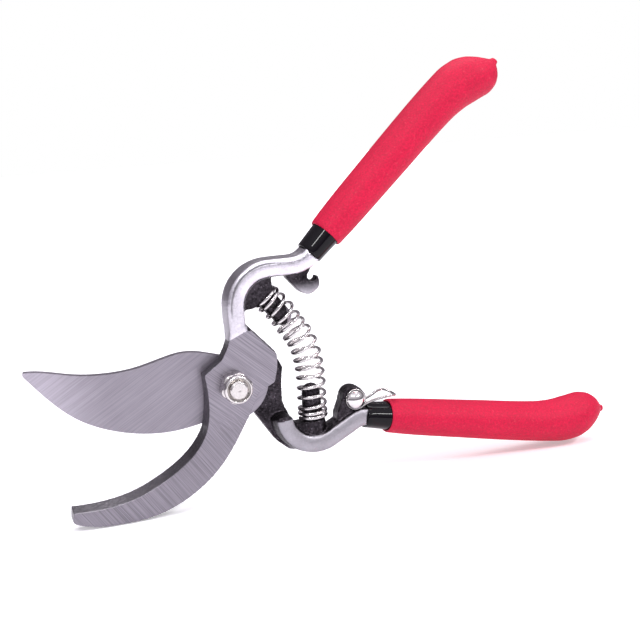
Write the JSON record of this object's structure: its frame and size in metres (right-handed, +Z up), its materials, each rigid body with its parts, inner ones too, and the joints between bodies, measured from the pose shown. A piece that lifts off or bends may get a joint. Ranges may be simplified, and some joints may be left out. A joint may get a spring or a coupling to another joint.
{
  "type": "pruning shears",
  "caption": "Forged bypass pruning shears, open: curved blade and hook on a pivot bolt, coil spring between the handles, swinging wire latch and dipped grips.",
  "frame": {"origin": "middle of the whole box, on the floor that the open shears stand on", "axes": "+X from the cutting head to the ends of the grips, +Y along the pivot bolt from its nut to its head, +Z up, from the lower grip to the upper one"},
  "size_m": [0.2025, 0.024, 0.1392],
  "materials": {
    "forged_steel": "ground faces on a dark forging, polished bars",
    "blade_steel": "ground",
    "plated_steel": "bright plated",
    "spring_wire": "bright drawn wire",
    "sleeve_black": "glossy",
    "grip_red": "soft matte, finely grained"
  },
  "bodies": {
    "blade_side": {"blade_handle": "forged_steel", "blade": "blade_steel", "blade_pin": "blade_steel", "pivot_bolt": "plated_steel", "pivot_nut": "plated_steel", "nut_insert": "plated_steel", "spring": "spring_wire", "latch_rivet": "plated_steel", "lower_sleeve": "sleeve_black", "lower_grip": "grip_red"},
    "hook_side": {"hook_handle": "forged_steel", "upper_sleeve": "sleeve_black", "upper_grip": "grip_red"},
    "latch": {"latch_wire": "plated_steel"}
  },
  "joints": [
    {"name": "shears_pivot", "type": "hinge", "parent": "blade_side", "child": "hook_side", "pos_m": [-0.03648, 0.001, 0.0394], "axis": [0, 1, 0], "range_deg": [0, 43], "stiffness_Nm_per_rad": 0.8, "springref_deg": -17.19, "deforming": ["spring"]},
    {"name": "latch_swing", "type": "hinge", "parent": "blade_side", "child": "latch", "pos_m": [0.00432, 0, 0.0288], "axis": [0, -1, 0], "range_deg": [0, 81.5]}
  ]
}
